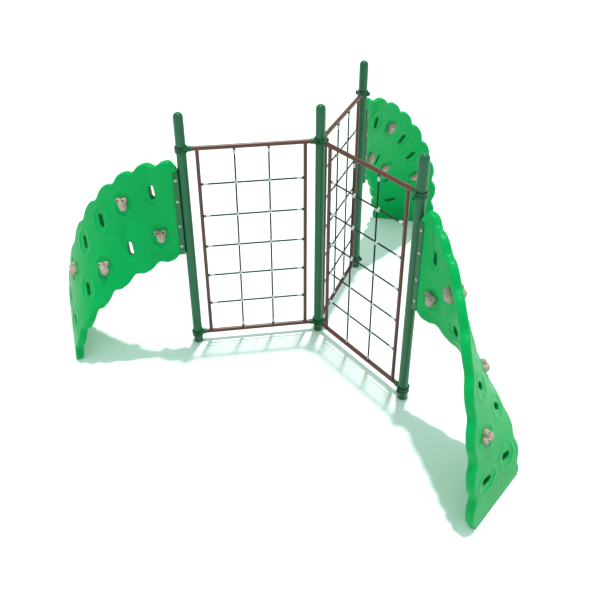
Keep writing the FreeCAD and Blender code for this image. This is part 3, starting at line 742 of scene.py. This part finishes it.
post_profile = [(POST_BORE, 1.2), (POST_BORE + 0.8, 0.2), (POST_R - 1.0, 0.0), (POST_R, 1.0)]
post_profile += [(POST_R, POST_TOP * i / 12) for i in range(1, 12)]
post_profile += [(POST_R, POST_TOP - 0.6), (POST_R - 0.6, POST_TOP - 0.1), (POST_BORE, POST_TOP - 0.1)]
post_points, post_faces = turned(post_profile, 64, closed=True)
cap_profile = [(POST_R * math.cos(math.radians(a)), POST_TOP + POST_R * math.sin(math.radians(a)))
               for a in np.linspace(0.8, 89.0, 20)]
cap_profile = [(POST_BORE - 3, POST_TOP + 0.3), (POST_R - 0.5, POST_TOP + 0.3)] + cap_profile
DOME_BORE = POST_BORE - 3
inner_dome = [(DOME_BORE * math.cos(math.radians(a)), POST_TOP + DOME_BORE * math.sin(math.radians(a)))
              for a in np.linspace(89.0, 0.8, 14)]
cap_points, cap_faces = turned(cap_profile + inner_dome, 64, closed=True)


def post_piece(name, node, place, points, faces, material, sharp):
    solid = Solid().add(points, faces, place)
    return show(name, solid.mesh(name), material, [node], 0.0, sharp)


def arm_place(angle, x=0.0, y=0.0, z=0.0):
    return Matrix.Rotation(math.radians(angle), 4, "Z") @ Matrix.Translation((x, y, z))


post_piece("middle_post", "hub_post", Matrix.Identity(4), post_points, post_faces, POST_PAINT,
           40)
post_piece("middle_dome", "hub_cap", Matrix.Identity(4), cap_points, cap_faces, POST_PAINT, 50)
for arm, angle in ARMS:
    there = arm_place(angle, SPACING)
    post_piece(f"outer_post_{arm}", f"post_{arm}", there, post_points, post_faces, POST_PAINT,
               40)
    post_piece(f"outer_dome_{arm}", f"cap_{arm}", there, cap_points, cap_faces, POST_PAINT, 50)


# ---------------------------------------------------------------- clamps

CLAMP_R = 57.0
CLAMP_BORE = 44.7
CLAMP_HALF = 29.0
SOCKET_R = 26.0
SOCKET_END = 88.0


def clamp_distance(span, has_socket):
    """A split collar round Z, facing +X, with a lug at each end and perhaps a rail socket."""
    half = math.radians(span / 2)

    def distance(x, y, z):
        round_z = np.hypot(x, y)
        band = rounded_cut(round_z - CLAMP_R + 0.06 * np.maximum(-z - 6, 0), np.abs(z) - CLAMP_HALF, 6)
        groove = np.maximum(np.abs(z) - 3.6, 51.5 - round_z)
        lower = np.abs(z + 20.5) + np.maximum(55.0 - round_z, 0) * 0.9 - 1.8
        body = rounded_cut(band, -groove, 2.4)
        body = rounded_cut(body, -lower, 1.5)
        for side in (-1, 1):
            bearing = side * half
            out = x * math.cos(bearing) + y * math.sin(bearing)
            off = (-x * math.sin(bearing) + y * math.cos(bearing)) * -side
            lug = rounded_cut(np.maximum(2.0 - off, off - 11.0), np.abs(z) - 19.0, 4)
            lug = rounded_cut(lug, np.maximum(out - 76.0, 46.0 - out), 5)
            body = blended(body, lug, 4)
        if has_socket:
            stub = rounded_cut(np.hypot(y, z) - SOCKET_R, np.maximum(x - SOCKET_END, 40 - x), 3.5)
            body = blended(body, stub, 7)
            body = rounded_cut(body, -np.maximum(np.hypot(y, z) - RAIL_R - 0.4, 49 - x), 1.0)
        for side in (-1, 1):
            bearing = side * half
            off = (-x * math.sin(bearing) + y * math.cos(bearing)) * -side
            if span > 179:
                off = x * 1.0
            body = np.maximum(body, 2.0 - off)
        return rounded_cut(body, CLAMP_BORE - round_z, 1.2)

    return distance


clamp_cell = 2.4
hub_clamp = sculpt(clamp_distance(120.0, True), (-4, -80, -34), (94, 80, 34), clamp_cell)
socket_clamp = sculpt(clamp_distance(180.0, True), (-4, -82, -34), (94, 82, 34), clamp_cell)
strap_clamp = sculpt(clamp_distance(180.0, False), (-4, -82, -34), (64, 82, 34), clamp_cell)
half_turn = Matrix.Rotation(math.pi, 4, "Z")
BOLT_CIRCLE = 66.5
clamp_bolts = Solid()


def clamp_bolt(place):
    """A bolt across two lugs: a domed head and washer on one side, a nut and thread on the other."""
    across = Matrix.Rotation(math.radians(-90), 4, "X")
    back = Matrix.Rotation(math.radians(90), 4, "X")
    washer = [(4.0, 0.0), (8.6, 0.0), (8.9, 0.4), (8.9, 1.2), (8.6, 1.6), (4.0, 1.6)]
    for turn in (across, back):
        seat = place @ turn @ Matrix.Translation((0, 0, 11.0))
        clamp_bolts.add(*turned(washer, 24, closed=True), seat)
    clamp_bolts.add(*button_head(7.4, 5.4, 3.2), place @ across @ Matrix.Translation((0, 0, 12.6)))
    clamp_bolts.add(*hex_nut(13.0, 5.5, 3.6), place @ back @ Matrix.Translation((0, 0, 12.6)))
    thread = []
    for i in range(9):
        thread += [(3.5, 11.0 + i), (4.0, 11.5 + i)]
    thread += [(3.3, 20.4), (0.0, 20.6)]
    clamp_bolts.add(*turned([(0.0, 11.0)] + thread, 16), place @ back)


for level, height in (("bottom", RAIL_LOW), ("top", RAIL_HIGH)):
    for arm, angle in ARMS:
        inner = Solid().add(hub_clamp[0], outward(*hub_clamp), arm_place(angle, 0, 0, height))
        show(f"hub_collar_{level}_{arm}", inner.mesh(f"hub_collar_{level}_{arm}"), CLAMP_PAINT,
             [f"hub_clamp_{level}_{arm}"])
        outer_place = arm_place(angle, SPACING, 0, height)
        near = Solid().add(socket_clamp[0], outward(*socket_clamp), outer_place @ half_turn)
        show(f"socket_collar_{level}_{arm}", near.mesh(f"socket_collar_{level}_{arm}"), CLAMP_PAINT,
             [f"socket_clamp_{level}_{arm}"])
        far = Solid().add(strap_clamp[0], outward(*strap_clamp), outer_place)
        show(f"strap_collar_{level}_{arm}", far.mesh(f"strap_collar_{level}_{arm}"), CLAMP_PAINT,
             [f"strap_clamp_{level}_{arm}"])
        clamp_bolt(arm_place(angle + 60, BOLT_CIRCLE, 0, height))
        for side in (-90, 90):
            clamp_bolt(outer_place @ Matrix.Rotation(math.radians(side), 4, "Z")
                       @ Matrix.Translation((BOLT_CIRCLE, 0, 0)))
show("collar_bolts", clamp_bolts.mesh("collar_bolts"), PAINTED_BOLT, ["clamp_bolts"], 0.0, 35)


# ---------------------------------------------------------------- net frames

rail_length = SPACING - 2 * RAIL_START
rail_profile = [(RAIL_BORE, 0.6), (RAIL_BORE + 0.6, 0.0), (RAIL_R - 0.8, 0.0), (RAIL_R, 0.8)]
rail_profile += [(RAIL_R, rail_length * i / 16) for i in range(1, 16)]
rail_profile += [(RAIL_R, rail_length - 0.8), (RAIL_R - 0.8, rail_length), (RAIL_BORE + 0.6, rail_length),
                 (RAIL_BORE, rail_length - 0.6)]
rail_points, rail_faces = turned(rail_profile, 48, closed=True)


def stile_shape():
    """A tube between the two rails, coped onto them, with a fillet of weld round each foot."""
    sides = 48
    angles = np.arange(sides) * (2 * math.pi / sides)
    rings = []
    height = RAIL_HIGH - RAIL_LOW

    def saddle(radius):
        # the rail runs along X, so the cope's depth follows the point's Y
        return np.sqrt(np.maximum(RAIL_R ** 2 - (radius * np.sin(angles)) ** 2, 0.0))

    def ring(radius, z):
        rings.append(np.stack([radius * np.cos(angles), radius * np.sin(angles), z], axis=-1))

    weld = [(4.2, -0.6), (3.6, 1.0), (2.2, 2.4), (1.0, 4.0), (0.3, 5.6), (0.0, 7.0)]
    for grow, lift in weld:
        ring(STILE_R + grow, saddle(STILE_R + grow) + lift)
    ring(STILE_R, np.full(sides, 40.0))
    for i in range(1, 12):
        ring(STILE_R, np.full(sides, height * i / 12))
    ring(STILE_R, np.full(sides, height - 40.0))
    for grow, lift in reversed(weld):
        ring(STILE_R + grow, height - saddle(STILE_R + grow) - lift)
    ring(STILE_BORE, height - saddle(STILE_BORE) - 0.5)
    ring(STILE_BORE, saddle(STILE_BORE) + 0.5)
    count = len(rings)
    faces = []
    for r in range(count):
        s = (r + 1) % count
        i = np.arange(sides)
        j = (i + 1) % sides
        faces.append(np.stack([r * sides + i, r * sides + j, s * sides + j, s * sides + i], axis=-1))
    return np.concatenate(rings), np.concatenate(faces)


stile_points, stile_faces = stile_shape()
for arm, angle in ARMS:
    for level, height in (("bottom", RAIL_LOW), ("top", RAIL_HIGH)):
        rail = Solid().add(rail_points, rail_faces, arm_place(angle) @ along_x(RAIL_START, 0, height))
        show(f"rail_{level}_{arm}", rail.mesh(f"rail_{level}_{arm}"), FRAME_PAINT,
             [f"{level}_rail_{arm}"], 0.0, 40)
    for end, along in (("inner", STILE_AT), ("outer", SPACING - STILE_AT)):
        stile = Solid().add(stile_points, stile_faces, arm_place(angle, along, 0, RAIL_LOW))
        show(f"stile_{end}_{arm}", stile.mesh(f"stile_{end}_{arm}"), FRAME_PAINT,
             [f"{end}_stile_{arm}"], 0.0, 50)


# ---------------------------------------------------------------- rope nets

ROPE_R = 8.0
STAGGER = 8.3
CUP_LENGTH = 16.0
STRANDS = 6
LAY = 62.0
NET_MIDDLE = (RAIL_LOW + RAIL_HIGH) / 2
ROWS = [NET_MIDDLE + 333.0 * (i - 2) for i in range(5)]
COLUMNS = [SPACING / 2 - 153.0, SPACING / 2 + 153.0]


def laid_rope(length):
    """A rope of twisted strands along Z, from 0 to length, closed at both ends."""
    per_strand = 5
    sides = STRANDS * per_strand
    rings = int(length / (5.0))
    z = np.linspace(0, length, rings)
    angles = np.arange(sides) * (2 * math.pi / sides)
    bulge = np.abs(np.cos(angles * STRANDS / 2))
    radius = ROPE_R * (0.80 + 0.22 * bulge)
    twist = 2 * math.pi * z / LAY
    turn = angles[None, :] + twist[:, None]
    x = radius[None, :] * np.cos(turn)
    y = radius[None, :] * np.sin(turn)
    points = np.stack([x, y, np.repeat(z[:, None], sides, axis=1)], axis=-1).reshape(-1, 3)
    tips = np.array([[0.0, 0.0, 0.0], [0.0, 0.0, length]])
    i = np.arange(sides)
    j = (i + 1) % sides
    faces = [np.stack([r * sides + i, r * sides + j, (r + 1) * sides + j, (r + 1) * sides + i], axis=-1)
             for r in range(rings - 1)]
    low, high = rings * sides, rings * sides + 1
    pairs = i[::2]
    faces.append(np.stack([np.full(len(pairs), low), (pairs + 2) % sides, pairs + 1, pairs], axis=-1))
    last = (rings - 1) * sides
    faces.append(np.stack([np.full(len(pairs), high), last + pairs, last + pairs + 1,
                           last + (pairs + 2) % sides], axis=-1))
    return np.concatenate([points, tips]), np.concatenate(faces)


row_start = STILE_AT + STILE_R + 6.0
row_rope = laid_rope(SPACING - 2 * row_start)
column_start = RAIL_LOW + RAIL_R + 6.0
column_rope = laid_rope(RAIL_HIGH - RAIL_LOW - 2 * (RAIL_R + 6.0))


def cup_shape(tube_radius):
    """The collar that holds a rope's end, from inside the tube's skin outwards."""
    profile = [(0.0, tube_radius - 5.0), (12.0, tube_radius - 5.0), (12.8, tube_radius + 3.0)]
    profile += [(12.9, tube_radius + 9.0), (13.4, tube_radius + 12.0)]
    profile += round_corner((12.0, tube_radius + CUP_LENGTH - 1.8), 1.6, 20, 100, 4)
    mouth = tube_radius + CUP_LENGTH
    profile += [(10.2, mouth - 0.4), (9.6, mouth - 3.0), (0.0, tube_radius + 10.0)]
    return turned(profile, 28)


def ferrule_shape(start):
    """A pressed collar, thick at the cup and tapering towards the net."""
    profile = [(0.0, start - 4.0), (9.4, start - 4.0), (9.8, start)]
    profile += [(11.3, start + 1.2), (11.6, start + 3.0), (11.6, start + 10.0), (10.9, start + 11.0),
                (10.9, start + 13.0), (11.5, start + 14.0), (11.4, start + 22.0), (10.8, start + 31.0),
                (10.2, start + 38.0), (9.6, start + 42.5), (8.9, start + 44.0), (8.0, start + 44.4),
                (0.0, start + 44.4)]
    return turned(profile, 28)


def joint_shape():
    """The two-part ball that grips a crossing, round Z, with its seam at Z = 0."""
    profile = [(0.0, -21.0), (7.0, -21.0), (7.6, -20.4), (8.2, -18.8)]
    profile += [(9.4, -19.2)]
    for a in np.linspace(-66, -4, 10):
        profile.append((20.4 * math.cos(math.radians(a)) ** 0.8, 19.6 * math.sin(math.radians(a))))
    profile += [(19.7, -0.9), (19.7, 0.9)]
    for a in np.linspace(4, 66, 10):
        profile.append((20.4 * math.cos(math.radians(a)) ** 0.8, 19.6 * math.sin(math.radians(a))))
    profile += [(9.4, 19.2), (8.2, 18.8), (7.6, 20.4), (7.0, 21.0), (0.0, 21.0)]
    return turned(profile, 36)


cups = Solid()
ferrules = Solid()
joints = Solid()
stile_cup, rail_cup = cup_shape(STILE_R), cup_shape(RAIL_R)
stile_ferrule = ferrule_shape(STILE_R + CUP_LENGTH)
rail_ferrule = ferrule_shape(RAIL_R + CUP_LENGTH)
joint = joint_shape()
for arm, angle in ARMS:
    level_ropes = Solid()
    upright_ropes = Solid()
    for height in ROWS:
        level_ropes.add(*row_rope, arm_place(angle) @ along_x(row_start, STAGGER, height))
        for along, towards in ((STILE_AT, 90), (SPACING - STILE_AT, -90)):
            place = arm_place(angle, along, STAGGER, height) @ Matrix.Rotation(math.radians(towards), 4, "Y")
            cups.add(*stile_cup, place)
            ferrules.add(*stile_ferrule, place)
    for along in COLUMNS:
        upright_ropes.add(*column_rope, arm_place(angle, along, -STAGGER, column_start))
        for height, towards in ((RAIL_LOW, 0), (RAIL_HIGH, 180)):
            place = arm_place(angle, along, -STAGGER, height) @ Matrix.Rotation(math.radians(towards), 4, "X")
            cups.add(*rail_cup, place)
            ferrules.add(*rail_ferrule, place)
        for height in ROWS:
            place = arm_place(angle, along, 0, height) @ Matrix.Rotation(math.radians(90), 4, "X")
            joints.add(*joint, place)
    show(f"level_ropes_{arm}", level_ropes.mesh(f"level_ropes_{arm}"), ROPE,
         [f"horizontal_ropes_{arm}"])
    show(f"upright_ropes_{arm}", upright_ropes.mesh(f"upright_ropes_{arm}"), ROPE,
         [f"vertical_ropes_{arm}"])
show("rope_cups", cups.mesh("rope_cups"), CUP, ["rope_anchors"], 0.0, 50)
show("rope_collars", ferrules.mesh("rope_collars"), FITTING, ["rope_ferrules"], 0.0, 50)
show("rope_joints", joints.mesh("rope_joints"), FITTING, ["rope_connectors"], 0.0, 50)


# ---------------------------------------------------------------- wall brackets

BRACKET_START = 44.6
BRACKET_PLATE = 5.0
BRACKET_FLANGE = 51.0
bracket_low, bracket_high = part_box("wall_bracket_left")
BRACKET_LOW = bracket_low.z / MM
BRACKET_HIGH = bracket_high.z / MM
BRACKET_HALF = (bracket_high.y - bracket_low.y) / 2 / MM
BOLT_LINE = 72.0
BOLT_HEIGHTS = (1173.0, 1390.0, 1650.0, 1865.0)


def channel(low, high):
    """The folded bracket as one closed mesh between two heights."""
    half, plate, flange = BRACKET_HALF, BRACKET_PLATE, BRACKET_FLANGE
    outer_bend, inner_bend, steps = 7.0, 2.0, 6
    outer = [(flange, -half)] + round_corner((outer_bend, -half + outer_bend), outer_bend, 270, 180, steps)
    outer += round_corner((outer_bend, half - outer_bend), outer_bend, 180, 90, steps) + [(flange, half)]
    inner_low = -half + plate
    inner = [(flange, inner_low)]
    inner += round_corner((plate + inner_bend, inner_low + inner_bend), inner_bend, 270, 180, steps)
    inner += round_corner((plate + inner_bend, -inner_low - inner_bend), inner_bend, 180, 90, steps)
    inner += [(flange, -inner_low)]
    outer, inner = np.array(outer), np.array(inner)
    count = len(outer)
    levels = [low, low + 1.5] + [low + (high - low) * i / 8 for i in range(1, 8)] + [high - 1.5, high]
    points = []
    for k, z in enumerate(levels):
        shrink = 1.0 if k in (0, len(levels) - 1) else 0.0
        toward = unit(inner - outer) * shrink
        points.append(np.column_stack([outer + toward, np.full(count, z)]))
        points.append(np.column_stack([inner - toward, np.full(count, z)]))
    faces = []
    last = len(levels) - 1
    for k in range(last):
        a, b = 2 * k * count, 2 * (k + 1) * count
        for i in range(count - 1):
            faces.append((a + i, b + i, b + i + 1, a + i + 1))
            faces.append((a + count + i + 1, b + count + i + 1, b + count + i, a + count + i))
        faces.append((a, a + count, b + count, b))
        faces.append((a + count - 1, b + count - 1, b + 2 * count - 1, a + 2 * count - 1))
    top = 2 * last * count
    for i in range(count - 1):
        faces.append((i + 1, i, count + i, count + i + 1)[::-1])
        faces.append((top + i, top + i + 1, top + count + i + 1, top + count + i)[::-1])
    return np.concatenate(points), np.array(faces)


bracket_points, bracket_faces = channel(BRACKET_LOW, BRACKET_HIGH)
bracket_faces = outward(bracket_points, bracket_faces)
bracket_at = np.array([SPACING + BRACKET_START, 0, 0])
bracket_mesh = build_mesh("bracket", bracket_points + bracket_at, bracket_faces)
dome = [(0.0, 0.0), (11.0, 0.0), (11.2, 0.8), (10.6, 2.2), (9.0, 3.9), (6.5, 5.2), (3.5, 5.9), (0.0, 6.1)]
washer = [(0.0, 0.0), (13.2, 0.0), (13.5, 0.5), (13.4, 1.3), (12.8, 1.6), (0.0, 1.6)]
bracket_bolts = Solid()
for height in BOLT_HEIGHTS:
    for side in (-1, 1):
        seat = Matrix.Translation((SPACING + BOLT_LINE, side * BRACKET_HALF, height)) @ Matrix.Rotation(
            math.radians(-90 * side), 4, "X")
        bracket_bolts.add(*turned(washer, 28), seat)
        bracket_bolts.add(*turned(dome, 28), seat @ Matrix.Translation((0, 0, 1.4)))
bracket_bolt_mesh = bracket_bolts.mesh("bracket_bolts_mesh")
for arm, angle in ARMS:
    show(f"channel_{arm}", bracket_mesh, BRACKET_PAINT, [f"wall_bracket_{arm}"], angle, 40)
    show(f"channel_bolts_{arm}", bracket_bolt_mesh, STEEL, ["bracket_bolts"], angle, 40)


# ---------------------------------------------------------------- floor, light and camera


def ground():
    """A wide pale floor, part of the studio."""
    mesh = bpy.data.meshes.new("floor")
    reach = 60.0
    mesh.from_pydata([(-reach, -reach, -0.001), (reach, -reach, -0.001), (reach, reach, -0.001),
                      (-reach, reach, -0.001)], [], [(0, 1, 2, 3)])
    floor = bpy.data.objects.new("floor", mesh)
    bpy.context.scene.collection.objects.link(floor)
    mat = bpy.data.materials.new("floor_white")
    mat.use_nodes = True
    bsdf = mat.node_tree.nodes["Principled BSDF"]
    bsdf.inputs["Base Color"].default_value = (0.93, 0.93, 0.93, 1)
    bsdf.inputs["Roughness"].default_value = 0.9
    bsdf.inputs["Specular IOR Level"].default_value = 0.1
    mesh.materials.append(mat)


ground()
world = bpy.data.worlds.new("studio")
world.use_nodes = True
world.node_tree.nodes["Background"].inputs["Color"].default_value = (0.70, 1.0, 0.88, 1)
world.node_tree.nodes["Background"].inputs["Strength"].default_value = 0.86
bpy.context.scene.world = world


def sun(name, azimuth, elevation, strength, softness):
    """A distant light that shines from an azimuth and elevation, in degrees."""
    light = bpy.data.lights.new(name, "SUN")
    light.energy = strength
    light.angle = math.radians(softness)
    lamp = bpy.data.objects.new(name, light)
    a, e = math.radians(azimuth), math.radians(elevation)
    from_there = Vector((math.sin(a) * math.cos(e), math.cos(a) * math.cos(e), math.sin(e)))
    lamp.rotation_mode = "QUATERNION"
    lamp.rotation_quaternion = (-from_there).to_track_quat("-Z", "Y")
    bpy.context.scene.collection.objects.link(lamp)


sun("key", 24.0, 82.0, 2.6, 2.2)

camera_data = bpy.data.cameras.new("camera")
camera_data.sensor_width = 36.0
camera_data.lens = 43.90
camera_data.shift_y = -0.15
camera = bpy.data.objects.new("camera", camera_data)
camera.location = (-0.987, -5.799, 4.900)
azimuth, elevation, roll = math.radians(7.645), math.radians(30.397), math.radians(-0.252)
look = Vector((math.sin(azimuth) * math.cos(elevation), math.cos(azimuth) * math.cos(elevation),
               -math.sin(elevation)))
camera.rotation_mode = "QUATERNION"
camera.rotation_quaternion = look.to_track_quat("-Z", "Y") @ Quaternion((0, 0, 1), roll)
bpy.context.scene.collection.objects.link(camera)
bpy.context.scene.camera = camera
bpy.context.scene.view_settings.view_transform = "Standard"
